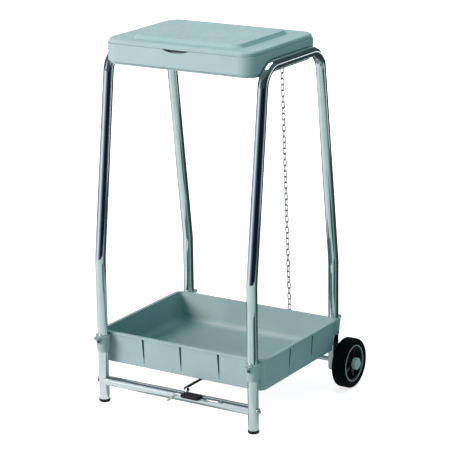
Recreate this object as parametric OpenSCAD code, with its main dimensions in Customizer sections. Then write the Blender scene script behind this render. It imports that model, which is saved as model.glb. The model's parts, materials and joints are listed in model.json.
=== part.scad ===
// Wheeled bin bag holder: two bent tube hoops carry a shallow tray and a bag collar,
// and a foot pedal opens the hinged lid through a pull rod, a rocker and a chain.
// Millimetres. The origin is on the floor, under the middle of the whole holder.
// X runs across, Y from front to back, Z up.

/* [Hoops] */
// Outer diameter of the hoop tube
tube_d = 25; // [20:0.5:28]
// Wall of the hoop tube
tube_wall = 1.5; // [1:0.1:2.5]
// Distance between the planes of the two hoops
hoop_gap = 410; // [360:5:460]
// Distance from front leg to rear leg at the floor
leg_spread = 374; // [340:2:400]
// Height of the top run's centre line
top_run_h = 829; // [700:1:950]
// Height at which the front legs start to lean
front_bend_h = 350; // [300:1:420]
// Height at which the rear legs start to lean
rear_bend_h = 309; // [280:1:400]
// How far the front legs lean in at the top
front_lean = 61; // [40:1:80]
// How far the rear legs lean in at the top
rear_lean = 65; // [45:1:80]
// Bend radius at the two top corners
corner_bend_r = 50; // [38:1:60]
// Bend radius where the legs start to lean
leg_bend_r = 150; // [80:5:220]
// Height of the rear legs' lower ends
rear_leg_end = 40; // [30:1:44]

/* [Crossbar and feet] */
// Diameter of the front crossbar
crossbar_d = 24; // [18:0.5:25]
// Height of the crossbar's centre line
crossbar_h = 53.5; // [45:1:60]
// Height of the foot that shows under the tube
foot_h = 8; // [5:0.5:14]
// Diameter of the foot
foot_d = 27; // [25:0.5:34]
// Depth of the plug inside the tube
foot_plug = 18; // [10:1:26]
// Diameter of the crossbar screws
bar_screw_d = 6; // [4:0.5:8]

/* [Tray] */
// How far the tray's rim stands out beside the legs' axes
tray_side = 23; // [18:0.5:30]
// How far the tray's rim stands in from the front and rear legs' axes
rim_set = 12; // [11.5:0.25:14]
// Height of the top of the rim
rim_h = 171; // [150:1:200]
// Gap between the pull rod and the tray's underside
rod_clear = 15; // [6:0.5:24]
// Thickness of the walls and the floor
tray_wall = 5; // [4.75:0.25:6]
// How far each wall leans in from rim to base
tray_draft = 5; // [2:0.5:8]
// Corner radius of the tray
tray_corner_r = 18; // [14:1:40]
// How far the rim stands out from the walls
rim_lip = 3.5; // [2:0.5:6]
// Height of the rim band
rim_band = 5; // [3:0.5:9]
// Distance from one flute to the next
flute_pitch = 103; // [80:1:110]
// Width of a flute at its top
flute_w = 6; // [5:0.5:14]
// Depth of a flute at its top
flute_depth = 3.75; // [2:0.25:4]
// Depth of a flute at its lower end
flute_end = 1.5; // [0.5:0.25:2]
// Height of a flute's lower end above the tray's underside
flute_rise = 10; // [8:1:20]
// Radius of the flange round each leg
lug_r = 17.5; // [16:0.5:22]
// Thickness of the flange round each leg
lug_flange = 7; // [5:0.5:12]
// Height of each leg sleeve
lug_h = 45; // [30:1:55]
// Length of the ear from the leg's axis
ear_reach = 24; // [22:1:32]
// Diameter of the tray screws
tray_screw_d = 4; // [3:0.5:5]

/* [Collar] */
// Width of the collar
collar_w = 400; // [380:2:410]
// Length of the collar from front to back
collar_l = 295; // [270:1:320]
// How far the collar's front stands before the origin of the hoops
collar_front = 165; // [150:1:175]
// Depth of the skirt
skirt_h = 40; // [32:1:55]
// Depth of the neck that the bag hangs from
neck_h = 48; // [42:1:70]
// Height of the collar's top above the top run's centre line
collar_rise = 27; // [24:0.5:34]
// Wall of the collar
collar_wall = 3; // [2:0.25:4]
// Thickness of the collar's deck
deck_t = 4; // [3:0.5:6]
// Corner radius of the collar
collar_corner_r = 38; // [28:1:46]
// Distance from skirt to neck at the front and back
ledge = 11; // [9:1:16]
// Width of the finger notch
notch_w = 70; // [50:1:100]
// Depth of the finger notch
notch_h = 6.5; // [4:0.5:9]
// Diameter of the collar screws
collar_screw_d = 4; // [3:0.5:5]

/* [Lid] */
// How far the lid's edge stands back from the collar's edge
lid_inset = 3; // [1:0.5:6]
// Height of the lid's edge
lid_edge_h = 10; // [8:0.5:16]
// Height of the raised panel above the lid's border
panel_rise = 7.5; // [3:0.5:12]
// Width of the lid's border at the sides
border_side = 50; // [35:1:70]
// Width of the lid's border at the front and back
border_front = 31; // [22:1:45]
// Width of the bevel round the raised panel
bevel = 8; // [4:0.5:14]
// Wall of the lid
lid_wall = 2.6; // [2:0.2:4]
// Angle that the lid opens
lid_open = 65; // [45:1:70]

/* [Hinge] */
// Diameter of the hinge pins
hinge_pin_d = 5; // [4:0.5:6]
// Radius of the hinge knuckles
knuckle_r = 6; // [5.5:0.25:7]
// Distance from the middle to each hinge
hinge_x = 118; // [114:1:140]
// Width of a knuckle
knuckle_w = 16; // [12:1:20]
// Distance from the collar's back to the hinge axis
hinge_back = 8; // [8:0.5:12]
// Distance from the collar's top down to the hinge axis
hinge_drop = 14; // [11:0.5:16]

/* [Wheels] */
// Outer diameter of a wheel
wheel_d = 120; // [106:2:130]
// Width of the tyre
tyre_w = 34; // [24:1:40]
// Height of the tyre's section
tyre_t = 15.5; // [10:0.5:18]
// Radius of the tyre's shoulders
shoulder_r = 6.8; // [3:0.2:6.9]
// Diameter of the rear axle
axle_d = 12; // [8:0.5:13]
// Gap between the tray's rim and the tyre
wheel_gap = 2.5; // [1.5:0.5:12]
// Radius of the wheel's hub barrel
barrel_r = 13; // [10:0.5:15]
// Number of spokes
spokes = 5; // [3:1:8]
// Radius of the hub cap
cap_r = 14; // [11:0.5:17]
// How far the hub cap stands out
cap_h = 12; // [6:0.5:14]

/* [Pedal mechanism] */
// Diameter of the pedal's pivot wire
pivot_d = 5; // [4:0.5:6]
// Diameter of the pull rod
rod_d = 6; // [4:0.5:6]
// Position of the pull rod across the holder
rod_x = 25; // [15:1:30]
// Crank and rocker arm that the rod pulls on
rod_arm = 14; // [13.5:0.25:17]
// Rocker arm that pulls the chain
chain_arm = 26; // [24:0.5:30]
// Arm on the lid that the chain pulls
lid_arm = 21; // [19:0.5:23]
// Thickness of the plate arms
plate_t = 2.5; // [2:0.25:3]
// Radius of the boss round an eye
eye_boss_r = 6; // [5.75:0.25:7.5]
// Width of the pedal pad
pad_w = 52; // [40:1:70]
// Depth of the pedal pad
pad_l = 26; // [20:1:34]
// Thickness of the pedal pad
pad_t = 8; // [6:0.5:12]
// Length of pivot wire beside the crank's sleeve
pivot_tail = 38; // [20:1:60]
// How far the pivot wire's bent end reaches sideways
hook_reach = 46; // [30:1:60]
// How far the pivot wire's bent end drops
hook_drop = 21; // [12:1:26]
// Where the chain leaves the lid, across the holder
chain_top_x = 83; // [76:1:86]
// Where the chain meets the rocker, across the holder
chain_low_x = 73; // [66:1:80]

/* [Chain] */
// Wire of the chain
link_wire = 2.5; // [2:0.1:2.6]
// Inner length of a link
link_pitch = 14; // [12:0.5:18]
// Outer width of a link
link_w = 10; // [9.5:0.5:12]

/* [Fits] */
// Radial clearance of a shaft that turns
run_gap = 0.05; // [0.02:0.01:0.1]
// Gap between pieces that are fastened or stand close
seat_gap = 0.25; // [0.1:0.05:0.3]

/* [Hidden] */
$fn = 64;
leg_x = hoop_gap / 2;
leg_y = leg_spread / 2;
tube_r = tube_d / 2;
axle_h = wheel_d / 2;
tray_w = hoop_gap + 2 * tray_side;
tray_l = leg_spread - 2 * rim_set;

bar_front = -leg_y - crossbar_d / 2;
pivot_y = bar_front - pivot_d / 2 - seat_gap;
pivot_h = crossbar_h + 9;
sleeve_wall = 2.1;
tongue_t = 2;
sleeve_r = pivot_d / 2 + sleeve_wall;
crank_x = rod_x + 8;
crank_end = crank_x + pad_w + 3;
pad_back = pivot_y - tongue_t - seat_gap;
pad_front = pad_back - pad_l;
pad_mid_h = pivot_h + 8;

reach_back = leg_y + wheel_d / 2;
mid_y = (reach_back + pad_front) / 2;

collar_mid_y = collar_l / 2 - collar_front;
collar_back = collar_l - collar_front;
collar_top = top_run_h + collar_rise;
neck_x = leg_x - tube_r - seat_gap;

hinge_y = collar_back + hinge_back;
hinge_h = collar_top - hinge_drop;
lid_base = collar_top + seat_gap;
lid_w = collar_w - 2 * lid_inset;
lid_l = collar_l - 2 * lid_inset;
lid_r = collar_corner_r - lid_inset;
lid_border_h = lid_base + lid_edge_h;
lid_back = collar_back - lid_inset;
lid_round = 3;

// Travel of the linkage, worked out from the lid's opening
chain_travel = 2 * lid_arm * sin(lid_open / 2);
rocker_swing = 2 * asin(chain_travel / (2 * chain_arm));
rod_travel = 2 * rod_arm * sin(rocker_swing / 2);
pedal_swing = rocker_swing;

// Each arm's eye rises and falls on an arc, so the straight parts run through the arc's middle
lid_arm_mean = lid_arm * (1 + cos(lid_open / 2)) / 2;
chain_arm_mean = chain_arm * (1 + cos(rocker_swing / 2)) / 2;
rod_arm_mean = rod_arm * (1 + cos(rocker_swing / 2)) / 2;
tray_base_h = pivot_h + rod_arm_mean + rod_d / 2 + rod_clear;

hinge_at = [hinge_y, hinge_h];
axle_at = [leg_y, axle_h];
hinge_to_axle = axle_at - hinge_at;
chain_angle = atan2(hinge_to_axle.y, hinge_to_axle.x)
    + asin((chain_arm_mean - lid_arm_mean) / norm(hinge_to_axle));
chain_dir = [cos(chain_angle), sin(chain_angle)];
chain_side = [-chain_dir.y, chain_dir.x];
side_angle = chain_angle + 90;
lid_arm_angle = side_angle + lid_open / 2;
chain_arm_angle = side_angle + rocker_swing / 2;
rod_arm_angle = rocker_swing / 2 - 90;
crank_angle = 90 - pedal_swing / 2;

lid_eye = hinge_at + lid_arm * [cos(lid_arm_angle), sin(lid_arm_angle)];
chain_eye = axle_at + chain_arm * [cos(chain_arm_angle), sin(chain_arm_angle)];
rod_eye = axle_at + rod_arm * [cos(rod_arm_angle), sin(rod_arm_angle)];
crank_eye = [pivot_y, pivot_h] + rod_arm * [cos(crank_angle), sin(crank_angle)];
chain_start = hinge_at + lid_arm_mean * chain_side - chain_dir * chain_travel / 2;
chain_stop = axle_at + chain_arm_mean * chain_side - chain_dir * chain_travel / 2;
chain_hole_d = link_wire + 5;
rod_hole_d = rod_d + 2.2;

chrome = "#c9ced2";
steel = "#b4b9bd";
moulded = "#9db4b4";
black = "#1d2022";
pale = "#c4cccc";

// Shifts a piece so that the holder's middle stands over the origin
module on_floor() {
    translate([0, -mid_y, 0]) children();
}

module both_sides() {
    children();
    mirror([1, 0, 0]) children();
}

// Turns a drawing in local X and Y into the Y and Z plane
module in_side_plane(x) {
    translate([x, 0, 0]) rotate([90, 0, 90]) children();
}

module rounded_rect(w, l, r) {
    square([w - 2 * r, l], center = true);
    square([w, l - 2 * r], center = true);
    for (sx = [-1, 1], sy = [-1, 1])
        translate([sx * (w / 2 - r), sy * (l / 2 - r)]) circle(r);
}

// A thin layer of a tapered shell
module layer(w, l, r, z) {
    translate([0, 0, z]) linear_extrude(0.01) rounded_rect(w, l, r, $fn = 32);
}

module along_x(x, y, z, length, d) {
    translate([x, y, z]) rotate([0, 90, 0]) cylinder(h = length, d = d);
}

module ring_along_x(x, y, z, length, r, bore_r) {
    translate([x, y, z]) rotate([0, 90, 0]) difference() {
        cylinder(h = length, r = r);
        translate([0, 0, -1]) cylinder(h = length + 2, r = bore_r);
    }
}

function turn(a, b) = atan2(a.x * b.y - a.y * b.x, a.x * b.x + a.y * b.y);
function unit(v) = v / norm(v);
function bend_turn(pts, i) = turn(pts[i] - pts[i - 1], pts[i + 1] - pts[i]);
function bend_setback(pts, radii, i) =
    (i == 0 || i == len(pts) - 1) ? 0 : radii[i] * tan(abs(bend_turn(pts, i)) / 2);

module tube_section(d, wall) {
    difference() {
        circle(d = d);
        if (wall > 0) circle(d = d - 2 * wall);
    }
}

// A bend's section is a hair thicker than the runs, which reach a little way into it
bend_swell = 0.12;
run_reach = 0.5;

// The rest of a bent tube from point i on: a straight run, a bend, and so forth
module tube_run(pts, radii, d, wall, i) {
    last = i == len(pts) - 2;
    back = i == 0 ? 0 : run_reach;
    run = norm(pts[i + 1] - pts[i]) - bend_setback(pts, radii, i) - bend_setback(pts, radii, i + 1);
    translate([0, 0, -back])
        linear_extrude(run + back + (last ? 0 : run_reach)) tube_section(d, wall);
    if (!last) {
        angle = bend_turn(pts, i + 1);
        r = radii[i + 1];
        side = angle > 0 ? 0 : 180;
        translate([0, 0, run]) rotate([0, 0, side]) translate([-r, 0, 0]) {
            rotate([90, 0, 0]) rotate_extrude(angle = abs(angle))
                translate([r, 0]) tube_section(d + bend_swell, wall > 0 ? wall + bend_swell : 0);
            rotate([0, -abs(angle), 0]) translate([r, 0, 0]) rotate([0, 0, side])
                tube_run(pts, radii, d, wall, i + 1);
        }
    }
}

// A tube or wire bent in one plane, along the points with a radius at each
module bent_tube(pts, radii, d, wall) {
    heading = pts[1] - pts[0];
    translate([pts[0].x, pts[0].y, 0])
        rotate([0, 0, atan2(heading.y, heading.x) - 90]) rotate([-90, 0, 0])
            tube_run(pts, radii, d, wall, 0);
}

// A pan head screw that points down Z from its head's underside
module pan_screw(d, length) {
    cylinder(h = 0.65 * d, d1 = 2 * d, d2 = 1.3 * d);
    translate([0, 0, -length]) cylinder(h = length, d = d);
}

flange_top = rim_h - rim_band;
tray_screw_h = flange_top - lug_flange - 1.5 * tray_screw_d;
tray_boss = lug_r + 1;
collar_screw_y = [collar_mid_y - 0.19 * collar_l, collar_mid_y + 0.19 * collar_l];
hoop_pts = [
    [-leg_y, foot_h],
    [-leg_y, front_bend_h],
    [-leg_y + front_lean, top_run_h],
    [leg_y - rear_lean, top_run_h],
    [leg_y, rear_bend_h],
    [leg_y, rear_leg_end]
];
hoop_radii = [0, leg_bend_r, corner_bend_r, corner_bend_r, leg_bend_r, 0];

module hoop() {
    difference() {
        in_side_plane(leg_x) bent_tube(hoop_pts, hoop_radii, tube_d, tube_wall);
        along_x(leg_x - tube_d, leg_y, axle_h, 2 * tube_d, axle_d + 2 * seat_gap);
        along_x(leg_x - tube_d, -leg_y, crossbar_h, 2 * tube_d, bar_screw_d + 2 * seat_gap);
        for (s = [-1, 1])
            translate([leg_x, s * leg_y, tray_screw_h])
                rotate([-90 * s, 0, 0])
                    cylinder(h = tube_d, d = tray_screw_d + 2 * seat_gap);
        for (y = collar_screw_y)
            along_x(leg_x - tube_d, y, top_run_h, tube_d, collar_screw_d + 2 * seat_gap);
    }
}

module left_hoop() {
    on_floor() color(chrome) mirror([1, 0, 0]) hoop();
}

module right_hoop() {
    on_floor() color(chrome) hoop();
}

// The crossbar's ends are coped round the legs
module front_crossbar() {
    on_floor() color(chrome) difference() {
        ring_along_x(-leg_x, -leg_y, crossbar_h, hoop_gap, crossbar_d / 2, crossbar_d / 2 - tube_wall);
        both_sides()
            translate([leg_x, -leg_y, crossbar_h - tube_d])
                cylinder(h = 2 * tube_d, r = tube_r + seat_gap);
    }
}

insert_l = 16;
module crossbar_inserts() {
    on_floor() color(steel) both_sides()
        ring_along_x(leg_x - tube_r - 2 - insert_l, -leg_y, crossbar_h, insert_l,
            crossbar_d / 2 - tube_wall - seat_gap, bar_screw_d / 2 + run_gap);
}

module crossbar_screws() {
    screw_l = tube_d + 12;
    washer_t = 1.5;
    on_floor() color(steel) both_sides()
        translate([leg_x + tube_r + washer_t + seat_gap, -leg_y, crossbar_h]) rotate([0, 90, 0]) {
            pan_screw(bar_screw_d, screw_l);
            translate([0, 0, -washer_t]) cylinder(h = washer_t, d = 2.6 * bar_screw_d);
        }
}

// A rubber foot with its plug up the leg
module foot() {
    round_r = foot_h / 2;
    rotate_extrude() {
        square([foot_d / 2 - round_r, foot_h]);
        translate([0, round_r]) square([foot_d / 2, foot_h - round_r]);
        translate([foot_d / 2 - round_r, round_r]) circle(round_r);
    }
    translate([0, 0, foot_h - 1])
        cylinder(h = foot_plug + 1, r = tube_r - tube_wall - seat_gap);
}

module left_foot() {
    on_floor() color(black) translate([-leg_x, -leg_y, 0]) foot();
}

module right_foot() {
    on_floor() color(black) translate([leg_x, -leg_y, 0]) foot();
}

module rear_leg_plugs() {
    plug_in = axle_h - axle_d / 2 - rear_leg_end - 3;
    on_floor() color(black) both_sides() translate([leg_x, leg_y, rear_leg_end - seat_gap]) {
        translate([0, 0, -2.5]) cylinder(h = 2.5, r1 = tube_r - 2, r2 = tube_r);
        translate([0, 0, -1]) cylinder(h = plug_in + 1, r = tube_r - tube_wall - seat_gap);
    }
}

tray_body_w = tray_w - 2 * rim_lip;
tray_body_l = tray_l - 2 * rim_lip;
tray_depth = rim_h - tray_base_h;
tray_heel = 3;
tray_fillet = 14;

function drafted(z) = tray_draft * (rim_h - z) / tray_depth;

// One level of the tray's outside or inside, at height z and set in from the wall
module tray_layer(z, inset) {
    in = inset + drafted(z);
    layer(tray_body_w - 2 * in, tray_body_l - 2 * in, tray_corner_r - min(inset, tray_corner_r - 8), z);
}

module tray_outside() {
    hull() {
        tray_layer(tray_base_h, tray_heel);
        tray_layer(tray_base_h + tray_heel * 0.4, tray_heel * 0.35);
        tray_layer(tray_base_h + tray_heel, 0);
        tray_layer(rim_h - 0.01, 0);
    }
}

module tray_inside() {
    floor_h = tray_base_h + tray_wall;
    hull() {
        for (a = [0 : 22.5 : 90])
            tray_layer(floor_h + tray_fillet * (1 - cos(a)), tray_wall + tray_fillet * (1 - sin(a)));
        tray_layer(rim_h + 1, tray_wall);
    }
}

// A flute is a V groove, widest and deepest under the rim, that narrows towards the base
module flute(reach) {
    proud = 1.5;
    top = rim_h - rim_band - 1;
    tip = tray_base_h + flute_rise;
    face_top = reach - drafted(top);
    face_in = drafted(tip) - drafted(top);
    spread = flute_w / 2 / flute_depth;
    top_w = spread * (flute_depth + proud);
    tip_w = spread * (flute_end + proud);
    translate([0, -face_top, 0])
        polyhedron(
            points = [
                [-top_w, -proud, top], [top_w, -proud, top], [0, flute_depth, top],
                [-tip_w, face_in - proud, tip], [tip_w, face_in - proud, tip], [0, face_in + flute_end, tip]
            ],
            faces = [[0, 1, 2], [5, 4, 3], [1, 0, 3, 4], [0, 2, 5, 3], [2, 1, 4, 5]]
        );
}

module flutes() {
    for (half = [0, 180], i = [-1 : 1])
        rotate([0, 0, half]) translate([i * flute_pitch, 0, 0]) flute(tray_body_l / 2);
    for (half = [90, 270], i = [-0.5, 0.5])
        rotate([0, 0, half]) translate([i * flute_pitch, 0, 0]) flute(tray_body_w / 2);
}

// The sleeve that ties the tray to one leg, with its flange, ear, web and screw boss
module lug() {
    sleeve_h = lug_h - rim_band - lug_flange;
    web_w = 18;
    ear_w = 16;
    translate([leg_x, leg_y, flange_top - lug_flange]) {
        cylinder(h = lug_flange, r = lug_r);
        translate([0, 0, -sleeve_h]) cylinder(h = sleeve_h, r1 = tube_r + 1.5, r2 = lug_r - 0.5);
        translate([-web_w / 2, -tube_r - 6, -sleeve_h]) cube([web_w, tube_r, sleeve_h + lug_flange]);
        translate([-ear_w / 2, 0, 1]) cube([ear_w, ear_reach, lug_flange - 2]);
        translate([0, ear_reach, 1]) cylinder(h = lug_flange - 2, d = ear_w);
    }
    translate([leg_x, leg_y, tray_screw_h])
        rotate([-90, 0, 0]) cylinder(h = tray_boss, d = 2.4 * tray_screw_d);
}

module lug_holes() {
    translate([leg_x, leg_y, rim_h - lug_h - 1]) cylinder(h = lug_h + 2, r = tube_r + seat_gap);
    translate([leg_x, leg_y + ear_reach, flange_top - lug_flange]) cylinder(h = lug_flange, d = 5);
    translate([leg_x, leg_y, tray_screw_h])
        rotate([-90, 0, 0]) cylinder(h = tray_boss + 1, d = tray_screw_d + 2 * run_gap);
}

module at_each_leg() {
    both_sides() {
        children();
        mirror([0, 1, 0]) children();
    }
}

module tray() {
    on_floor() color(moulded) difference() {
        union() {
            tray_outside();
            translate([0, 0, rim_h - rim_band])
                linear_extrude(rim_band) rounded_rect(tray_w, tray_l, tray_corner_r + rim_lip);
            at_each_leg() lug();
        }
        tray_inside();
        flutes();
        at_each_leg() lug_holes();
    }
}

module tray_screws() {
    screw_l = tray_boss - tube_r + 4;
    on_floor() color(steel) at_each_leg()
        translate([leg_x, leg_y + tray_boss, tray_screw_h])
            rotate([-90, 0, 0]) pan_screw(tray_screw_d, screw_l);
}

// Everything inside the outer edge of a hoop, seen from the side
module hoop_outline(clear) {
    r = corner_bend_r + tube_r + clear;
    front_arc_y = hoop_pts[2].x + bend_setback(hoop_pts, hoop_radii, 2);
    rear_arc_y = hoop_pts[3].x - bend_setback(hoop_pts, hoop_radii, 3);
    arc_h = top_run_h - corner_bend_r;
    translate([front_arc_y, arc_h]) circle(r);
    translate([rear_arc_y, arc_h]) circle(r);
    translate([front_arc_y, arc_h]) square([rear_arc_y - front_arc_y, r]);
    translate([front_arc_y - r, arc_h - neck_h]) square([rear_arc_y - front_arc_y + 2 * r, neck_h]);
}

module collar_outline(inset) {
    rounded_rect(collar_w - 2 * inset, collar_l - 2 * inset, collar_corner_r - inset);
}

module neck_outline(grow) {
    translate([0, 0])
        rounded_rect(2 * (neck_x - collar_wall + grow), collar_l - 2 * (ledge + collar_wall - grow),
            collar_corner_r - ledge - collar_wall + grow);
}

knuckle_gap = 0.4;
// The section of a collar knuckle and the web that carries it
module collar_knuckle() {
    circle(knuckle_r);
    polygon([
        [-hinge_back - 1, -knuckle_r - 8], [0, -knuckle_r], [0, knuckle_r],
        [-hinge_back - 1, knuckle_r]
    ]);
}

module collar_knuckles() {
    for (s = [-1, 1])
        in_side_plane(hinge_x + s * (knuckle_w + knuckle_gap) - knuckle_w / 2)
            translate([hinge_y, hinge_h]) linear_extrude(knuckle_w) collar_knuckle();
}

module collar() {
    saddle_ribs = [for (t = [-0.3, -0.1, 0.1, 0.3]) collar_mid_y + t * collar_l];
    dish_r = (pow(notch_w / 2, 2) + pow(notch_h, 2)) / (2 * notch_h);
    on_floor() color(moulded) difference() {
        union() {
            translate([0, collar_mid_y, collar_top - skirt_h])
                linear_extrude(skirt_h) difference() {
                    collar_outline(0);
                    collar_outline(collar_wall);
                }
            translate([0, collar_mid_y, collar_top - deck_t])
                linear_extrude(deck_t) difference() {
                    collar_outline(0);
                    neck_outline(0);
                }
            translate([0, collar_mid_y, collar_top - neck_h])
                linear_extrude(neck_h) difference() {
                    neck_outline(collar_wall);
                    neck_outline(0);
                }
            both_sides() {
                collar_knuckles();
                for (y = saddle_ribs)
                    translate([neck_x - 1, y, top_run_h + 2])
                        cube([collar_w / 2 - neck_x, collar_wall, collar_rise - 3]);
            }
        }
        both_sides() {
            in_side_plane(neck_x + 0.02) linear_extrude(2 * tube_d) hoop_outline(seat_gap);
            along_x(hinge_x - 2 * knuckle_w, hinge_y, hinge_h, 4 * knuckle_w, hinge_pin_d + 2 * run_gap);
            for (y = collar_screw_y)
                along_x(neck_x - 2 * collar_wall, y, top_run_h, 3 * collar_wall,
                    collar_screw_d + 2 * run_gap);
        }
        translate([0, -collar_front - 1, collar_top - notch_h + dish_r])
            rotate([-90, 0, 0]) cylinder(h = ledge, r = dish_r, $fn = 160);
    }
}

module collar_screws() {
    screw_l = collar_wall + 5;
    on_floor() color(steel) both_sides()
        for (y = collar_screw_y)
            translate([neck_x - collar_wall, y, top_run_h])
                rotate([0, -90, 0]) pan_screw(collar_screw_d, screw_l);
}

module hinge_pins() {
    pin_l = 3 * knuckle_w + 2 * knuckle_gap + 2;
    on_floor() color(steel) both_sides()
        along_x(hinge_x - pin_l / 2, hinge_y, hinge_h, pin_l, hinge_pin_d);
}

panel_w = lid_w - 2 * border_side;
panel_l = lid_l - 2 * border_front;
panel_r = max(lid_r - 6, bevel + 4);

// The lid's body, or with in > 0 the hollow under it
module lid_solid(in) {
    side_r = lid_r - in;
    band_top = lid_border_h - in - lid_round;
    translate([0, 0, lid_base - (in > 0 ? 1 : 0)])
        linear_extrude(band_top - lid_base + (in > 0 ? 1 : 0))
            rounded_rect(lid_w - 2 * in, lid_l - 2 * in, side_r);
    hull() {
        layer(lid_w - 2 * in, lid_l - 2 * in, side_r, band_top - 0.01);
        layer(lid_w - 2 * in - 2 * lid_round, lid_l - 2 * in - 2 * lid_round, side_r - lid_round,
            band_top + lid_round - 0.01);
    }
    hull() {
        layer(panel_w - 2 * in, panel_l - 2 * in, panel_r, band_top + lid_round - 0.5);
        layer(panel_w - 2 * in - 2 * bevel, panel_l - 2 * in - 2 * bevel, panel_r - bevel,
            band_top + lid_round + panel_rise - 0.01);
    }
}

// The section of a lid knuckle with its strap over the collar's edge
module lid_knuckle() {
    strap = 5;
    rise = hinge_drop + seat_gap;
    edge = lid_back - hinge_y - 1;
    circle(knuckle_r);
    polygon([
        [edge, rise], [edge, rise + strap], [0, rise + strap], [knuckle_r, 3], [knuckle_r, 0],
        [-knuckle_r, 0], [-knuckle_r, rise]
    ]);
}

module lid() {
    on_floor() color(moulded) difference() {
        union() {
            difference() {
                translate([0, collar_mid_y, 0]) lid_solid(0);
                translate([0, collar_mid_y, 0]) lid_solid(lid_wall);
            }
            both_sides()
                in_side_plane(hinge_x - knuckle_w / 2) translate([hinge_y, hinge_h])
                    linear_extrude(knuckle_w) lid_knuckle();
        }
        both_sides()
            along_x(hinge_x - knuckle_w, hinge_y, hinge_h, 2 * knuckle_w, hinge_pin_d + 2 * run_gap);
    }
}

lever_flange_w = 34;
lever_flange_h = lid_edge_h - lid_round - 0.5;
// An angle plate: its flange is riveted to the lid's back edge, its arm holds the chain
module lid_lever() {
    foot_at = [lid_back, lid_base];
    on_floor() color(steel) {
        in_side_plane(chain_top_x - plate_t / 2) linear_extrude(plate_t) difference() {
            hull() {
                translate([foot_at.x, foot_at.y + 2]) square([plate_t, lever_flange_h - 2]);
                translate(lid_eye) circle(eye_boss_r, $fn = 40);
            }
            translate(lid_eye) circle(d = chain_hole_d);
        }
        translate([chain_top_x - lever_flange_w / 2, foot_at.x, foot_at.y])
            cube([lever_flange_w, plate_t, lever_flange_h]);
    }
}

module lid_lever_rivets() {
    rivet_d = 3;
    on_floor() color(steel)
        for (s = [-1, 1])
            translate([chain_top_x + s * (lever_flange_w / 2 - 6), lid_back + plate_t,
                    lid_base + lever_flange_h / 2])
                rotate([-90, 0, 0]) cylinder(h = 1.2, d1 = 2 * rivet_d, d2 = 1.4 * rivet_d);
}

tyre_x = leg_x + tray_side + wheel_gap;
hub_x = leg_x + tube_r + 2 + 2 * seat_gap;
hub_end_x = tyre_x + tyre_w - 3;
washer_x = leg_x + tube_r + seat_gap;

module rear_axle() {
    half = hub_end_x + seat_gap + cap_h - 3;
    on_floor() color(chrome) along_x(-half, leg_y, axle_h, 2 * half, axle_d);
}

module axle_washers() {
    on_floor() color(steel) both_sides()
        ring_along_x(washer_x, leg_y, axle_h, 2, axle_d, axle_d / 2 + run_gap);
}

// Two push-on rings keep the rocker in its place along the axle
module rocker_rings() {
    on_floor() color(steel)
        for (x = [rocker_x - 2 - seat_gap, rocker_end + seat_gap])
            ring_along_x(x, leg_y, axle_h, 2, axle_d / 2 + 3, axle_d / 2 + run_gap);
}

tyre_in_r = wheel_d / 2 - tyre_t;
rim_t = 6;
rim_w = tyre_w - 8;

module at_wheel() {
    translate([tyre_x + tyre_w / 2, leg_y, axle_h]) rotate([0, 90, 0]) children();
}

module tyre() {
    at_wheel() rotate_extrude($fn = 96)
        translate([wheel_d / 2 - tyre_t / 2, 0]) rounded_rect(tyre_t, tyre_w, min(shoulder_r, tyre_t / 2 - 0.1));
}

// The moulded wheel centre: a rim, a web, spokes and a barrel on the axle
module hub() {
    web_t = 3;
    rim_in_r = tyre_in_r - seat_gap - rim_t;
    difference() {
        union() {
            at_wheel() {
                translate([0, 0, -rim_w / 2]) difference() {
                    cylinder(h = rim_w, r = tyre_in_r - seat_gap);
                    translate([0, 0, -1]) cylinder(h = rim_w + 2, r = rim_in_r);
                }
                translate([0, 0, -web_t]) cylinder(h = web_t, r = rim_in_r + 2);
                for (i = [0 : spokes - 1])
                    rotate([0, 0, i * 360 / spokes + 12])
                        translate([barrel_r - 2, -3.5, -web_t / 2])
                            cube([rim_in_r - barrel_r + 4, 7, web_t / 2 + 8]);
            }
            along_x(hub_x, leg_y, axle_h, hub_end_x - hub_x, 2 * barrel_r);
        }
        along_x(hub_x - 1, leg_y, axle_h, hub_end_x - hub_x + 2, axle_d + 2 * run_gap);
    }
}

module rim_ring() {
    at_wheel() translate([0, 0, rim_w / 2]) difference() {
        cylinder(h = 2, r = tyre_in_r - seat_gap);
        translate([0, 0, -1]) cylinder(h = 4, r = tyre_in_r - seat_gap - 2);
    }
}

module hub_cap() {
    wall = 1.5;
    translate([hub_end_x + seat_gap, leg_y, axle_h]) rotate([0, 90, 0]) difference() {
        union() {
            cylinder(h = cap_h - 3, r = cap_r);
            translate([0, 0, cap_h - 3]) cylinder(h = 3, r1 = cap_r, r2 = cap_r - 3.5);
        }
        translate([0, 0, -1]) cylinder(h = cap_h - wall + 1, r = axle_d / 2 + run_gap);
    }
}

module left_tyre() {
    on_floor() color(black) mirror([1, 0, 0]) tyre();
}

module left_hub() {
    on_floor() color(black) mirror([1, 0, 0]) hub();
}

module left_rim_ring() {
    on_floor() color(pale) mirror([1, 0, 0]) rim_ring();
}

module left_hub_cap() {
    on_floor() color(pale) mirror([1, 0, 0]) hub_cap();
}

module right_tyre() {
    on_floor() color(black) tyre();
}

module right_hub() {
    on_floor() color(black) hub();
}

module right_rim_ring() {
    on_floor() color(pale) rim_ring();
}

module right_hub_cap() {
    on_floor() color(pale) hub_cap();
}

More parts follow.
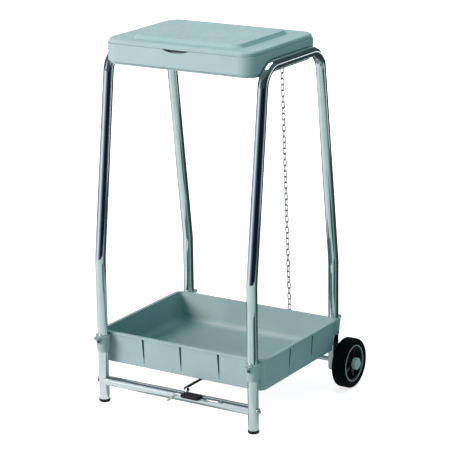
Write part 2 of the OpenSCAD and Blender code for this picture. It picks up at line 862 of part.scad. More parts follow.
// The pivot wire: its left end is bent down over the crossbar, its right end turns back onto it
module pedal_pivot() {
    elbow = pivot_d;
    end_x = crank_end + pivot_tail;
    join_x = crank_x - 4;
    hook = [
        [join_x - hook_reach, pivot_h - hook_drop], [join_x - hook_drop, pivot_h],
        [join_x + run_reach, pivot_h]
    ];
    stem = [[join_x, pivot_y], [end_x, pivot_y], [end_x, pivot_y + crossbar_d / 2]];
    on_floor() color(steel) difference() {
        union() {
            translate([0, pivot_y, 0]) rotate([90, 0, 0])
                bent_tube(hook, [0, 2 * pivot_d, 0], pivot_d - bend_swell, 0);
            translate([0, 0, pivot_h]) bent_tube(stem, [0, elbow, 0], pivot_d, 0);
        }
        along_x(end_x - 2 * pivot_d, -leg_y, crossbar_h, 4 * pivot_d, crossbar_d + 2 * seat_gap);
    }
}

// The crank: a sleeve on the pivot, a tongue inside the pad and an ear for the rod
module pedal_crank() {
    tongue_z = pad_mid_h - tongue_t / 2;
    on_floor() color(steel) difference() {
        union() {
            along_x(crank_x, pivot_y, pivot_h, crank_end - crank_x, 2 * sleeve_r);
            translate([crank_x, pivot_y - tongue_t, pivot_h])
                cube([crank_end - crank_x, tongue_t, tongue_z + tongue_t - pivot_h]);
            translate([crank_x + 4, pad_front + 5, tongue_z])
                cube([pad_w - 8, pivot_y - pad_front - 5, tongue_t]);
            in_side_plane(crank_x) linear_extrude(plate_t) hull() {
                translate([pivot_y, pivot_h]) circle(sleeve_r - 0.5, $fn = 40);
                translate(crank_eye) circle(eye_boss_r, $fn = 40);
            }
        }
        along_x(crank_x - 1, pivot_y, pivot_h, crank_end - crank_x + 2, pivot_d + 2 * run_gap);
        along_x(crank_x - 1, crank_eye.x, crank_eye.y, plate_t + 2, rod_hole_d);
    }
}

// The rubber pad, pushed over the crank's tongue from the front
module pedal_pad() {
    round_r = 9;
    mid = [crank_x + pad_w / 2, (pad_front + pad_back) / 2];
    on_floor() color(black) difference() {
        translate([mid.x, mid.y, 0]) hull() {
            layer(pad_w - 4, pad_l - 4, round_r - 2, pad_mid_h - pad_t / 2);
            layer(pad_w, pad_l, round_r, pad_mid_h - pad_t / 2 + 2);
            layer(pad_w, pad_l, round_r, pad_mid_h + pad_t / 2 - 3);
            layer(pad_w - 6, pad_l - 6, round_r - 3, pad_mid_h + pad_t / 2 - 0.01);
        }
        translate([crank_x + 4 - seat_gap, pad_front + 5 - seat_gap, pad_mid_h - tongue_t / 2 - seat_gap])
            cube([pad_w - 8 + 2 * seat_gap, pad_l, tongue_t + 2 * seat_gap]);
    }
}

rocker_x = crank_x;
rocker_end = chain_low_x + plate_t / 2 + 2;

// The rod: hooked through the crank, straight back, then down under the axle to the rocker
module pull_rod() {
    front_h = pivot_h + rod_arm_mean;
    rear_h = axle_h - rod_arm_mean;
    tip_x = crank_x + plate_t + 3;
    split = 30;
    hook_end = split + run_reach;
    hook_d = rod_d - bend_swell;
    front_hook = [[tip_x, crank_eye.x], [rod_x, crank_eye.x], [rod_x, crank_eye.x + hook_end]];
    shank = [
        [crank_eye.x + split, front_h], [leg_y - 3 * split, front_h],
        [leg_y - 1.5 * split, rear_h], [rod_eye.x - split, rear_h]
    ];
    rear_hook = [[rod_x, rod_eye.x - hook_end], [rod_x, rod_eye.x], [tip_x, rod_eye.x]];
    on_floor() color(black) {
        translate([0, 0, front_h]) bent_tube(front_hook, [0, rod_d, 0], hook_d, 0);
        in_side_plane(rod_x) bent_tube(shank, [0, 2 * rod_d, 2 * rod_d, 0], rod_d, 0);
        translate([0, 0, rear_h]) bent_tube(rear_hook, [0, rod_d, 0], hook_d, 0);
    }
}

// The rocker: a sleeve on the axle, one arm down for the rod and one back for the chain
module rear_rocker() {
    rocker_sleeve_r = axle_d / 2 + 3;
    on_floor() color(steel) difference() {
        union() {
            along_x(rocker_x, leg_y, axle_h, rocker_end - rocker_x, 2 * rocker_sleeve_r);
            in_side_plane(rocker_x) linear_extrude(plate_t) hull() {
                translate(axle_at) circle(rocker_sleeve_r - 0.5, $fn = 40);
                translate(rod_eye) circle(eye_boss_r, $fn = 40);
            }
            in_side_plane(chain_low_x - plate_t / 2) linear_extrude(plate_t) hull() {
                translate(axle_at) circle(rocker_sleeve_r - 0.5, $fn = 40);
                translate(chain_eye) circle(eye_boss_r, $fn = 40);
            }
        }
        along_x(rocker_x - 1, leg_y, axle_h, rocker_end - rocker_x + 2, axle_d + 2 * run_gap);
        along_x(rocker_x - 1, rod_eye.x, rod_eye.y, plate_t + 2, rod_hole_d);
        along_x(chain_low_x - plate_t, chain_eye.x, chain_eye.y, 2 * plate_t, chain_hole_d);
    }
}

link_slack = 0.3;
chain_low = [chain_low_x, chain_stop.x, chain_stop.y];
chain_high = [chain_top_x, chain_start.x, chain_start.y];
chain_l = norm(chain_high - chain_low);
// An odd number of links, so that both end links hang the same way round
link_count = 2 * floor((chain_l - link_wire - link_slack) / link_pitch / 2) + 1;
link_step = (chain_l - link_wire - link_slack) / link_count;

module link() {
    bend_r = (link_w - link_wire) / 2;
    arc_z = (link_step + link_slack + link_wire) / 2 - bend_r;
    for (s = [0, 180])
        rotate([0, s, 0]) {
            translate([0, 0, arc_z]) rotate([90, 0, 0])
                rotate_extrude(angle = 180, $fn = 8)
                    translate([bend_r, 0]) circle(d = link_wire, $fn = 6);
            translate([bend_r, 0, -arc_z]) cylinder(h = 2 * arc_z, d = link_wire, $fn = 6);
        }
}

module chain() {
    up = unit(chain_high - chain_low);
    tilt_x = asin(-up.y);
    tilt_y = asin(up.x / cos(tilt_x));
    on_floor() color(steel) translate(chain_low) rotate([tilt_x, tilt_y, 0])
        for (i = [0 : link_count - 1])
            translate([0, 0, (i + 0.5) * link_step + (link_wire + link_slack) / 2])
                rotate([0, 0, 90 * (i % 2)]) link();
}

left_hoop();
right_hoop();
front_crossbar();
crossbar_inserts();
crossbar_screws();
left_foot();
right_foot();
rear_leg_plugs();
tray();
tray_screws();
collar();
collar_screws();
hinge_pins();
lid();
lid_lever();
lid_lever_rivets();
rear_axle();
axle_washers();
rocker_rings();
left_tyre();
left_hub();
left_rim_ring();
left_hub_cap();
right_tyre();
right_hub();
right_rim_ring();
right_hub_cap();
pedal_pivot();
pedal_crank();
pedal_pad();
pull_rod();
rear_rocker();
chain();
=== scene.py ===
import json
import math

import bmesh
import bpy
from mathutils import Matrix, Vector


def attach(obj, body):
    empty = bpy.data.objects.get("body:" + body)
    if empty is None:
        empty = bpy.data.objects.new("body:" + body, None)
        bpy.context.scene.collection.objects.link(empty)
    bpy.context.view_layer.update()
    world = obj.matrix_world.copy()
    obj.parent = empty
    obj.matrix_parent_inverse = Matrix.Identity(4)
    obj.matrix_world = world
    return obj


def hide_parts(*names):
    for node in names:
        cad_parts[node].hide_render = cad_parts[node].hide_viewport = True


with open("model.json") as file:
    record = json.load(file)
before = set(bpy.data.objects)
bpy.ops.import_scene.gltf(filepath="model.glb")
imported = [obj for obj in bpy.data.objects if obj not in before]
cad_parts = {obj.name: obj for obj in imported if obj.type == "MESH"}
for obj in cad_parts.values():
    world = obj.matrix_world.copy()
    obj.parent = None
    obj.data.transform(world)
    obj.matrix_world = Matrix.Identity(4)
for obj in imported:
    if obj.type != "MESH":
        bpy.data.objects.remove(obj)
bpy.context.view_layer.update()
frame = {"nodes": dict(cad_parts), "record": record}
nodes = frame["nodes"]

HINGE_Y = 138.0  # the lid hinge's place in the part's own source, in mm
hinge_joint = next(j for j in frame["record"]["behaviour"]["joints"] if j["name"] == "lid_hinge")
rocker_joint = next(j for j in frame["record"]["behaviour"]["joints"] if j["name"] == "rocker_turn")
MID_Y = HINGE_Y - hinge_joint["pos_m"][1] * 1000  # the source shifts every piece forward by this


def mm(x, y, z):
    """A point of the part's source, in metres in the row frame."""
    return Vector((x, y - MID_Y, z)) / 1000


# Materials -----------------------------------------------------------------

def new_material(name):
    mat = bpy.data.materials.new(name)
    mat.use_nodes = True
    tree = mat.node_tree
    shader = tree.nodes["Principled BSDF"]
    coord = tree.nodes.new("ShaderNodeTexCoord")
    return mat, tree, shader, coord.outputs["Object"]


def noise(tree, coord, scale, detail=3.0, rough=0.5):
    tex = tree.nodes.new("ShaderNodeTexNoise")
    tex.inputs["Scale"].default_value = scale
    tex.inputs["Detail"].default_value = detail
    tex.inputs["Roughness"].default_value = rough
    tree.links.new(coord, tex.inputs["Vector"])
    return tex.outputs["Fac"]


def spread(tree, value, low, high):
    """Maps a noise value's middle range to low..high."""
    node = tree.nodes.new("ShaderNodeMapRange")
    node.inputs["From Min"].default_value = 0.3
    node.inputs["From Max"].default_value = 0.7
    node.inputs["To Min"].default_value = low
    node.inputs["To Max"].default_value = high
    tree.links.new(value, node.inputs["Value"])
    return node.outputs["Result"]


def two_tone(tree, value, dark, light):
    mix = tree.nodes.new("ShaderNodeMix")
    mix.data_type = "RGBA"
    mix.inputs[6].default_value = (*dark, 1)
    mix.inputs[7].default_value = (*light, 1)
    tree.links.new(spread(tree, value, 0.0, 1.0), mix.inputs["Factor"])
    return mix.outputs[2]


def bump(tree, shader, height, distance, strength=1.0):
    node = tree.nodes.new("ShaderNodeBump")
    node.inputs["Distance"].default_value = distance
    node.inputs["Strength"].default_value = strength
    tree.links.new(height, node.inputs["Height"])
    tree.links.new(node.outputs["Normal"], shader.inputs["Normal"])


def calc(tree, operation, *values):
    """One math node; a value is a number or a socket."""
    node = tree.nodes.new("ShaderNodeMath")
    node.operation = operation
    for slot, value in zip(node.inputs, values):
        if isinstance(value, (int, float)):
            slot.default_value = value
        else:
            tree.links.new(value, slot)
    return node.outputs[0]


def between(tree, value, low, high):
    """1 where the value lies between low and high."""
    above = calc(tree, "GREATER_THAN", value, low)
    return calc(tree, "MULTIPLY", above, calc(tree, "LESS_THAN", value, high))


def axes(tree, coord):
    """The x, y and z of the part's source, in metres."""
    node = tree.nodes.new("ShaderNodeSeparateXYZ")
    tree.links.new(coord, node.inputs[0])
    return node.outputs[0], calc(tree, "ADD", node.outputs[1], MID_Y / 1000), node.outputs[2]


# The tray's grooves and the collar's notch, as the part's source has them, in metres, with the painted
# shade that darkens them
RIM_TOP, WALL_SLOPE = 0.171, 5.0 / 77.2
GROOVE_FOOT, GROOVE_TOP = 0.1038, 0.1652
GROOVE_HALF, GROOVE_FLARE = 0.0013, 1.8 / 61.2  # half width at the foot, and its growth with height
HALF_PITCH = 0.0515
# For each pair of walls: the row's shift, how far it runs from the middle, where the grooves' floor begins
FRONT_ROW, SIDE_ROW = (0.0, 0.15, 0.1672), (HALF_PITCH, 0.1, 0.2202)
FADE_FROM, FADE_TO = 0.112, 0.124
NOTCH_X, NOTCH_Y, NOTCH_Z = (-0.0365, 0.0365), (-0.16485, -0.1505), (0.849, 0.8565)
# Painted shade: the near-black tone painted into the tray's grooves and the collar's notch, and its share
# where the mask is full
SHADE, SHADE_SHARE = (0.012, 0.035, 0.035), 0.85


def flute_painted_shade(tree, coord):
    """1 inside the grooves of the tray's walls, fading towards their lower ends: the mask of the painted
    shade in the grooves.
    """
    x, y, z = axes(tree, coord)
    draft = calc(tree, "MULTIPLY", calc(tree, "SUBTRACT", RIM_TOP, z), WALL_SLOPE)
    flare = calc(tree, "MULTIPLY", calc(tree, "SUBTRACT", z, GROOVE_FOOT), GROOVE_FLARE)
    half = calc(tree, "ADD", GROOVE_HALF, flare)
    found = []
    for over, out, (shift, limit, reach) in ((x, y, FRONT_ROW), (y, x, SIDE_ROW)):
        off = calc(tree, "PINGPONG", calc(tree, "ADD", over, shift), HALF_PITCH)
        deep = calc(tree, "GREATER_THAN", calc(tree, "ADD", calc(tree, "ABSOLUTE", out), draft), reach)
        near = calc(tree, "LESS_THAN", calc(tree, "ABSOLUTE", over), limit)
        inside = calc(tree, "MULTIPLY", deep, near)
        found.append(calc(tree, "MULTIPLY", calc(tree, "LESS_THAN", off, half), inside))
    low = tree.nodes.new("ShaderNodeMapRange")
    low.inputs["From Min"].default_value = FADE_FROM
    low.inputs["From Max"].default_value = FADE_TO
    tree.links.new(z, low.inputs["Value"])
    below_rim = calc(tree, "MULTIPLY", low.outputs["Result"], calc(tree, "LESS_THAN", z, GROOVE_TOP))
    return calc(tree, "MULTIPLY", calc(tree, "MAXIMUM", *found), below_rim)


def notch_painted_shade(tree, coord):
    """1 inside the finger notch of the collar's front: the mask of the painted shade in the notch."""
    x, y, z = axes(tree, coord)
    inside = calc(tree, "MULTIPLY", between(tree, x, *NOTCH_X), between(tree, y, *NOTCH_Y))
    return calc(tree, "MULTIPLY", inside, between(tree, z, *NOTCH_Z))


def plastic(name, dark, light, rough, grain, shade=None):
    """A grained moulding; shade is a mask where painted shade takes the tone to near black, standing in
    for the shade in a deep groove.
    """
    mat, tree, shader, coord = new_material(name)
    colour = two_tone(tree, noise(tree, coord, 14, 4), dark, light)
    if shade:
        mix = tree.nodes.new("ShaderNodeMix")
        mix.data_type = "RGBA"
        mix.inputs[7].default_value = (*SHADE, 1)
        tree.links.new(calc(tree, "MULTIPLY", shade(tree, coord), SHADE_SHARE), mix.inputs["Factor"])
        tree.links.new(colour, mix.inputs[6])
        colour = mix.outputs[2]
    tree.links.new(colour, shader.inputs["Base Color"])
    gloss = spread(tree, noise(tree, coord, 60, 3), rough - 0.05, rough + 0.06)
    tree.links.new(gloss, shader.inputs["Roughness"])
    bump(tree, shader, noise(tree, coord, grain, 2, 0.6), 0.00006, 0.6)
    shader.inputs["Specular IOR Level"].default_value = 0.28
    return mat


def metal(name, dark, light, rough, depth=0.00001):
    mat, tree, shader, coord = new_material(name)
    shader.inputs["Metallic"].default_value = 1.0
    colour = two_tone(tree, noise(tree, coord, 25, 4), dark, light)
    tree.links.new(colour, shader.inputs["Base Color"])
    gloss = spread(tree, noise(tree, coord, 90, 4, 0.6), rough * 0.7, rough * 1.5)
    tree.links.new(gloss, shader.inputs["Roughness"])
    bump(tree, shader, noise(tree, coord, 220, 2, 0.5), depth, 0.4)
    return mat


def rubber(name, tone, rough):
    mat, tree, shader, coord = new_material(name)
    dark = tuple(c * 0.7 for c in tone)
    light = tuple(c * 1.5 for c in tone)
    colour = two_tone(tree, noise(tree, coord, 30, 5, 0.6), dark, light)
    tree.links.new(colour, shader.inputs["Base Color"])
    gloss = spread(tree, noise(tree, coord, 120, 3), rough - 0.08, rough + 0.1)
    tree.links.new(gloss, shader.inputs["Roughness"])
    bump(tree, shader, noise(tree, coord, 900, 2, 0.6), 0.00012, 0.7)
    shader.inputs["Specular IOR Level"].default_value = 0.08
    return mat


TEAL = (0.255, 0.392, 0.398), (0.280, 0.418, 0.424), 0.40, 1400  # dark, light, roughness, grain
MOULDED = plastic("moulded_plastic", *TEAL)
# The tray and the collar carry painted shade in their grooves and in the notch
SHADED = {
    "tray": plastic("moulded_tray_painted_shade", *TEAL, flute_painted_shade),
    "collar": plastic("moulded_collar_painted_shade", *TEAL, notch_painted_shade),
}
CHROME = metal("chrome_plate", (0.74, 0.77, 0.79), (0.80, 0.83, 0.85), 0.045)
STEEL = metal("zinc_steel", (0.50, 0.52, 0.54), (0.62, 0.64, 0.66), 0.26, depth=0.00003)
CHAIN = metal("chain_steel", (0.36, 0.38, 0.40), (0.50, 0.52, 0.54), 0.24, depth=0.00003)
RUBBER = rubber("black_rubber", (0.014, 0.014, 0.016), 0.52)
TYRE = rubber("tyre_rubber", (0.0015, 0.002, 0.0024), 0.78)
BLACK = plastic("black_moulding", (0.012, 0.012, 0.013), (0.020, 0.020, 0.022), 0.36, 1100)
PALE = plastic("pale_moulding", (0.40, 0.48, 0.48), (0.45, 0.53, 0.53), 0.40, 1300)
PAINT = plastic("black_paint", (0.010, 0.010, 0.012), (0.016, 0.016, 0.018), 0.30, 500)
SCREW = metal("dark_screw", (0.10, 0.11, 0.12), (0.17, 0.18, 0.19), 0.30)

BY_SLOT = {
    "chrome": CHROME, "steel": STEEL, "chain": CHAIN, "rubber": RUBBER, "black_plastic": BLACK,
    "moulding": MOULDED, "tyre": TYRE, "pale_plastic": PALE, "black_paint": PAINT,
    "dark_screw": SCREW,
}
BEVEL_MM = {
    "tray": 0.9, "collar": 0.8, "lid": 1.2, "left_hub": 0.5, "right_hub": 0.5, "left_hub_cap": 0.6,
    "right_hub_cap": 0.6, "pedal_pad": 0.8, "pedal_crank": 0.3, "rear_rocker": 0.3, "lid_lever": 0.3,
    "rear_axle": 0.6, "rear_leg_plugs": 0.4,
}


SHARP_ANGLE, BEVEL_ANGLE, BEVEL_STEPS = 32, 40, 3


def dress(obj, mat, bevel_mm=0.0):
    """Gives a CAD piece its material, smooth faces and, where it has one, its edge's radius."""
    obj.data.materials.clear()
    obj.data.materials.append(mat)
    for poly in obj.data.polygons:
        poly.use_smooth = True
        poly.material_index = 0
    obj.data.set_sharp_from_angle(angle=math.radians(SHARP_ANGLE))
    if bevel_mm:
        mod = obj.modifiers.new("edge", "BEVEL")
        mod.width = bevel_mm / 1000
        mod.segments = BEVEL_STEPS
        mod.limit_method = "ANGLE"
        mod.angle_limit = math.radians(BEVEL_ANGLE)
        mod.harden_normals = True
        mod.use_clamp_overlap = True


for sub in frame["record"]["subparts"]:
    name = sub["node"]
    dress(nodes[name], SHADED.get(name, BY_SLOT[sub["material_slot"]]), BEVEL_MM.get(name, 0.0))


def piece(name, bm, mat, body, replaces=()):
    """A finished mesh that rides on a CAD body."""
    mesh = bpy.data.meshes.new(name)
    bm.to_mesh(mesh)
    bm.free()
    obj = bpy.data.objects.new(name, mesh)
    bpy.context.scene.collection.objects.link(obj)
    mesh.materials.append(mat)
    for poly in mesh.polygons:
        poly.use_smooth = True
    mesh.set_sharp_from_angle(angle=math.radians(BEVEL_ANGLE))
    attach(obj, body)
    if replaces:
        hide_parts(*replaces)
    return obj


# The chain: round wire links in place of the plain ones, in mm ---------------

def sin_d(a):
    return math.sin(math.radians(a))


def cos_d(a):
    return math.cos(math.radians(a))


LEG_Y, AXLE_H = 187.0, rocker_joint["pos_m"][2] * 1000
HINGE = (HINGE_Y, hinge_joint["pos_m"][2] * 1000)
LID_ARM, CHAIN_ARM, LID_OPEN = 21.0, 26.0, 65.0
WIRE, LINK_W, PITCH, SLACK = 2.5, 10.0, 14.0, 0.3
TOP_X, LOW_X = 83.0, 73.0  # the chain's x at the lid's lever and at the rocker
BEND_STEPS, WIRE_SIDES = 12, 8

travel = 2 * LID_ARM * sin_d(LID_OPEN / 2)
swing = 2 * math.degrees(math.asin(travel / (2 * CHAIN_ARM)))
lid_mean = LID_ARM * (1 + cos_d(LID_OPEN / 2)) / 2
chain_mean = CHAIN_ARM * (1 + cos_d(swing / 2)) / 2
span = (LEG_Y - HINGE[0], AXLE_H - HINGE[1])
angle = math.degrees(math.atan2(span[1], span[0]) + math.asin((chain_mean - lid_mean) / math.hypot(*span)))
along = (cos_d(angle), sin_d(angle))
side = (-along[1], along[0])
high = Vector((TOP_X, HINGE[0] + lid_mean * side[0] - along[0] * travel / 2,
               HINGE[1] + lid_mean * side[1] - along[1] * travel / 2))
low = Vector((LOW_X, LEG_Y + chain_mean * side[0] - along[0] * travel / 2,
              AXLE_H + chain_mean * side[1] - along[1] * travel / 2))
length = (high - low).length
count = 2 * int((length - WIRE - SLACK) / PITCH / 2) + 1
step = (length - WIRE - SLACK) / count


def link_path():
    """The middle line of one link: two half circles and the straight runs between them."""
    r = (LINK_W - WIRE) / 2
    z = (step + SLACK + WIRE) / 2 - r
    points = []
    for sign in (1, -1):
        for i in range(BEND_STEPS + 1):
            a = math.pi * i / BEND_STEPS
            points.append(Vector((sign * r * math.cos(a), 0, sign * (z + r * math.sin(a)))))
    return points


def add_loop(bm, points, radius, sides, place):
    """A closed round wire along the points, which lie in the plane y = 0."""
    rings = []
    n = len(points)
    for i, p in enumerate(points):
        tangent = (points[(i + 1) % n] - points[i - 1]).normalized()
        across = Vector((0, 1, 0))
        out = tangent.cross(across)
        rings.append([
            bm.verts.new(place @ (p + radius * (math.cos(2 * math.pi * k / sides) * out
                                                + math.sin(2 * math.pi * k / sides) * across)))
            for k in range(sides)
        ])
    for i in range(n):
        a, b = rings[i], rings[(i + 1) % n]
        for k in range(sides):
            bm.faces.new((a[k], a[(k + 1) % sides], b[(k + 1) % sides], b[k]))


def build_chain():
    bm = bmesh.new()
    up = (high - low).normalized()
    tilt_x = math.asin(-up.y)
    tilt_y = math.asin(up.x / math.cos(tilt_x))
    turn = Matrix.Rotation(tilt_y, 4, "Y") @ Matrix.Rotation(tilt_x, 4, "X")
    to_metres = Matrix.Diagonal((0.001, 0.001, 0.001, 1))
    base = to_metres @ Matrix.Translation(low - Vector((0, MID_Y, 0))) @ turn
    path = link_path()
    for i in range(count):
        place = base @ Matrix.Translation((0, 0, (i + 0.5) * step + (WIRE + SLACK) / 2)) \
            @ Matrix.Rotation(math.pi / 2 * (i % 2), 4, "Z")
        add_loop(bm, path, WIRE / 2, WIRE_SIDES, place)
    bmesh.ops.recalc_face_normals(bm, faces=bm.faces)
    return bm


piece("chain_links", build_chain(), CHAIN, "chain", replaces=("chain",))

# Stage -------------------------------------------------------------------------

def plain(name, colour, rough=0.7):
    mat = bpy.data.materials.new(name)
    mat.use_nodes = True
    shader = mat.node_tree.nodes["Principled BSDF"]
    shader.inputs["Base Color"].default_value = (*colour, 1)
    shader.inputs["Roughness"].default_value = rough
    shader.inputs["Specular IOR Level"].default_value = 0.1
    return mat


FLOOR_TINT = (1.0, 0.95, 0.95)  # evens out the cool ambient light in the shadow
FLOOR_SIZE, FLOOR_DROP = 40, 0.0002
LIFT_FROM, LIFT_TO = 1.0, 4.0  # where the floor's lift begins and ends, from the middle


def lift_background(mat, near, far):
    """Keeps a white floor white to the camera and in reflections, with the object's shadow still on it."""
    tree = mat.node_tree
    path = tree.nodes.new("ShaderNodeLightPath")
    seen = tree.nodes.new("ShaderNodeMath")
    seen.operation = "MAXIMUM"
    tree.links.new(path.outputs["Is Camera Ray"], seen.inputs[0])
    tree.links.new(path.outputs["Is Glossy Ray"], seen.inputs[1])
    place = tree.nodes.new("ShaderNodeNewGeometry")
    reach = tree.nodes.new("ShaderNodeVectorMath")
    reach.operation = "LENGTH"
    tree.links.new(place.outputs["Position"], reach.inputs[0])
    gain = tree.nodes.new("ShaderNodeMapRange")
    gain.inputs["From Min"].default_value = LIFT_FROM
    gain.inputs["From Max"].default_value = LIFT_TO
    gain.inputs["To Min"].default_value = near
    gain.inputs["To Max"].default_value = far
    tree.links.new(reach.outputs["Value"], gain.inputs["Value"])
    lift = tree.nodes.new("ShaderNodeMath")
    lift.operation = "MULTIPLY"
    tree.links.new(seen.outputs[0], lift.inputs[0])
    tree.links.new(gain.outputs["Result"], lift.inputs[1])
    shader = tree.nodes["Principled BSDF"]
    shader.inputs["Emission Color"].default_value = (*FLOOR_TINT, 1)
    tree.links.new(lift.outputs[0], shader.inputs["Emission Strength"])


floor_mat = plain("floor_white", (0.88, 0.88, 0.88), 0.9)
lift_background(floor_mat, 0.78, 1.1)
bpy.ops.mesh.primitive_plane_add(size=FLOOR_SIZE, location=(0, 0, -FLOOR_DROP))
floor = bpy.context.object
floor.name = "floor"
floor.data.materials.append(floor_mat)


def flag_material():
    """A glowing tone of its own at each corner, for painted reflections; it takes no light and gives none
    but to reflections.
    """
    mat = bpy.data.materials.new("flag_tone")
    mat.use_nodes = True
    tree = mat.node_tree
    shader = tree.nodes["Principled BSDF"]
    shader.inputs["Base Color"].default_value = (0, 0, 0, 1)
    shader.inputs["Specular IOR Level"].default_value = 0.0
    shader.inputs["Emission Strength"].default_value = 1.0
    tone = tree.nodes.new("ShaderNodeAttribute")
    tone.attribute_name = "tone"
    tree.links.new(tone.outputs["Color"], shader.inputs["Emission Color"])
    mat.cycles.emission_sampling = "NONE"
    return mat


FLAG = flag_material()


FLAG_STEP = 3  # degrees


def tone_at(stops, bearing):
    """The tone at a bearing, blended between the stops on either side."""
    for (a, low), (b, high) in zip(stops, stops[1:]):
        if a <= bearing <= b:
            t = (bearing - a) / (b - a)
            return tuple(p + (q - p) * t for p, q in zip(low, high))
    return stops[-1][1]


def flag_band(name, inner, outer, stops):
    """A glowing sheet that only reflections see, which paints the reflections and highlights on glossy
    parts: a band between two arcs, each given as (radius, height).

    The stops are (bearing, tone); a bearing runs from -Y towards +X, in degrees."""
    first, last = stops[0][0], stops[-1][0]
    n = max(2, int((last - first) / FLAG_STEP))
    rows = [first + (last - first) * i / n for i in range(n + 1)]
    verts, tones = [], []
    for bearing in rows:
        a = math.radians(bearing)
        for radius, height in (inner, outer):
            verts.append((radius * math.sin(a), -radius * math.cos(a), height))
            tones.append((*tone_at(stops, bearing), 1.0))
    faces = [(2 * i, 2 * i + 1, 2 * i + 3, 2 * i + 2) for i in range(n)]
    mesh = bpy.data.meshes.new(name)
    mesh.from_pydata(verts, [], faces)
    layer = mesh.color_attributes.new("tone", "FLOAT_COLOR", "POINT")
    for item, tone in zip(layer.data, tones):
        item.color = tone
    mesh.materials.append(FLAG)
    obj = bpy.data.objects.new(name, mesh)
    bpy.context.scene.collection.objects.link(obj)
    obj.visible_camera = False
    obj.visible_diffuse = False
    obj.visible_shadow = False
    obj.visible_transmission = False


# Painted reflections: the tone each glowing sheet shows in glossy parts, by bearing; the bright stops
# paint highlights, the dark ones dark stripes
WALL = [
    (-114, (0.05, 0.07, 0.09)), (-90, (0.09, 0.12, 0.15)), (-76, (0.42, 0.50, 0.60)),
    (-52, (0.62, 0.72, 0.84)), (-32, (0.99, 1.05, 1.11)), (-14, (0.30, 0.37, 0.45)),
    (4, (0.09, 0.13, 0.18)), (20, (0.008, 0.014, 0.024)), (78, (0.006, 0.010, 0.018)),
    (92, (0.05, 0.07, 0.09)), (104, (0.22, 0.29, 0.33)), (116, (0.34, 0.42, 0.46)),
]
HIGH = [
    (-114, (0.04, 0.05, 0.07)), (-60, (0.08, 0.11, 0.14)), (-35, (0.50, 0.58, 0.64)),
    (-15, (0.08, 0.11, 0.13)), (60, (0.02, 0.03, 0.04)), (116, (0.05, 0.09, 0.09)),
]
FLOOR = [
    (-180, (0.03, 0.05, 0.05)), (-160, (0.05, 0.08, 0.08)), (-128, (0.08, 0.12, 0.12)),
    (-108, (0.16, 0.22, 0.22)), (-88, (0.74, 0.84, 0.82)), (-50, (0.80, 0.92, 0.89)),
    (-15, (0.64, 0.80, 0.77)), (20, (0.54, 0.72, 0.69)), (50, (0.44, 0.62, 0.59)),
    (75, (0.32, 0.48, 0.46)), (95, (0.13, 0.21, 0.20)), (112, (0.03, 0.05, 0.05)),
    (150, (0.03, 0.05, 0.05)), (180, (0.03, 0.05, 0.05)),
]
NEAR = [
    (-180, (0.40, 0.50, 0.50)), (-110, (0.30, 0.38, 0.38)), (-88, (0.85, 0.92, 0.91)),
    (-20, (0.80, 0.90, 0.88)), (40, (0.62, 0.74, 0.72)), (70, (0.25, 0.35, 0.34)),
    (100, (0.16, 0.24, 0.23)), (130, (0.55, 0.66, 0.65)), (180, (0.40, 0.50, 0.50)),
]
BACK = [
    (136, (0.03, 0.06, 0.06)), (176, (0.04, 0.08, 0.08)), (188, (0.20, 0.28, 0.28)),
    (204, (0.45, 0.55, 0.55)),
]
STRIPE = [
    (46, (0.30, 0.44, 0.42)), (56, (0.04, 0.08, 0.075)), (78, (0.04, 0.08, 0.075)),
    (88, (0.40, 0.55, 0.53)),
]


def even(first, last, tone):
    return [(first, tone), (last, tone)]


# Each flag's lower and upper arc, or inner and outer arc where it lies flat, and its stops
ROUND = 2.2
FLAGS = {
    "flag_wall": ((ROUND, 0.0), (ROUND, 0.88), WALL),
    "flag_high": ((ROUND, 0.88), (ROUND, 2.3), HIGH),
    "flag_back": ((ROUND, 0.85), (ROUND, 3.2), BACK),
    "flag_right": ((3.0, 0.9), (3.0, 4.2), even(70, 138, (0.07, 0.13, 0.13))),
    "flag_floor": ((0.46, 0.001), (ROUND, 0.001), FLOOR),
    "flag_far": ((ROUND, 0.001), (7.0, 0.001), even(122, 196, (0.03, 0.05, 0.05))),
    "flag_near": ((0.10, 0.001), (0.46, 0.001), NEAR),
    "flag_stripe": ((0.72, 0.002), (1.12, 0.002), STRIPE),
    # flag_under: painted shadow of the floor beneath the object, as reflections see it
    "flag_under": ((0.0, 0.0015), (0.25, 0.0015), even(-180, 180, (0.28, 0.33, 0.33))),
    "flag_ceiling": ((0.0, 3.2), (4.0, 3.2), even(-180, 180, (0.10, 0.14, 0.14))),
}
for flag, (inner_arc, outer_arc, flag_stops) in FLAGS.items():
    flag_band(flag, inner_arc, outer_arc, flag_stops)

world = bpy.data.worlds.new("studio")
bpy.context.scene.world = world
world.use_nodes = True
wt = world.node_tree
wt.nodes.clear()
out = wt.nodes.new("ShaderNodeOutputWorld")
mix = wt.nodes.new("ShaderNodeMixShader")
ambient = wt.nodes.new("ShaderNodeBackground")
ambient.inputs["Color"].default_value = (0.50, 1.0, 1.03, 1)
ambient.inputs["Strength"].default_value = 0.305
white = wt.nodes.new("ShaderNodeBackground")
white.inputs["Color"].default_value = (1, 1, 1, 1)
white.inputs["Strength"].default_value = 1.0
path = wt.nodes.new("ShaderNodeLightPath")
either = wt.nodes.new("ShaderNodeMath")
either.operation = "MAXIMUM"
third = wt.nodes.new("ShaderNodeMath")
third.operation = "MAXIMUM"
wt.links.new(path.outputs["Is Camera Ray"], either.inputs[0])
wt.links.new(path.outputs["Is Glossy Ray"], either.inputs[1])
wt.links.new(either.outputs[0], third.inputs[0])
wt.links.new(path.outputs["Is Transmission Ray"], third.inputs[1])
wt.links.new(third.outputs[0], mix.inputs["Fac"])
wt.links.new(ambient.outputs[0], mix.inputs[1])
wt.links.new(white.outputs[0], mix.inputs[2])
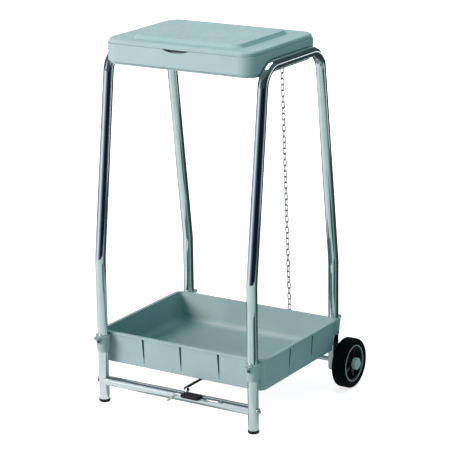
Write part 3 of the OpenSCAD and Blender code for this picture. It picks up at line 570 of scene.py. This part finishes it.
wt.links.new(mix.outputs[0], out.inputs["Surface"])


def softbox(name, at, target, size, watts, colour=(1, 1, 1), mirrored=True):
    """An area light aimed at a point; mirrored says whether reflections see it."""
    data = bpy.data.lights.new(name, "AREA")
    data.shape = "RECTANGLE"
    data.size, data.size_y = size
    data.energy = watts
    data.color = colour
    obj = bpy.data.objects.new(name, data)
    bpy.context.scene.collection.objects.link(obj)
    obj.visible_glossy = mirrored
    obj.location = at
    obj.rotation_euler = (Vector(target) - Vector(at)).to_track_quat("-Z", "Y").to_euler()


softbox("key", (-2.4, -3.4, 2.3), (0, 0, 0.45), (2.2, 2.2), 288, (1.0, 0.79, 0.79))
softbox("top", (0.25, 0.1, 2.1), (0, 0, 0.8), (0.9, 0.9), 10.5)
softbox("back", (-0.8, 4.2, 1.0), (0, 0, 0.5), (2.0, 1.6), 70, (1.0, 0.86, 0.86), False)

# Camera: solved from the photograph's edges -------------------------------------

YAW, TILT, ROLL = 0.563, 0.266, -0.016  # radians
PHOTO, FOCAL, CENTRE = 460, 2042.27, (215.56, 202.91)  # pixels
SENSOR = 36.0
forward = Vector((-math.sin(YAW) * math.cos(TILT), math.cos(YAW) * math.cos(TILT), -math.sin(TILT)))
right = Vector((math.cos(YAW), math.sin(YAW), 0))
up = right.cross(forward)
right_r = math.cos(ROLL) * right + math.sin(ROLL) * up
up_r = -math.sin(ROLL) * right + math.cos(ROLL) * up
cam_data = bpy.data.cameras.new("camera")
cam = bpy.data.objects.new("camera", cam_data)
bpy.context.scene.collection.objects.link(cam)
basis = Matrix((right_r, up_r, -forward)).transposed().to_4x4()
cam.matrix_world = Matrix.Translation(mm(2445.13, -3881.61, 1717.44)) @ basis
cam_data.sensor_width = SENSOR
cam_data.lens = FOCAL / PHOTO * SENSOR
cam_data.shift_x = (PHOTO / 2 - CENTRE[0]) / PHOTO
cam_data.shift_y = (CENTRE[1] - PHOTO / 2) / PHOTO
cam_data.clip_end = 100
bpy.context.scene.camera = cam
bpy.context.scene.view_settings.view_transform = "Standard"
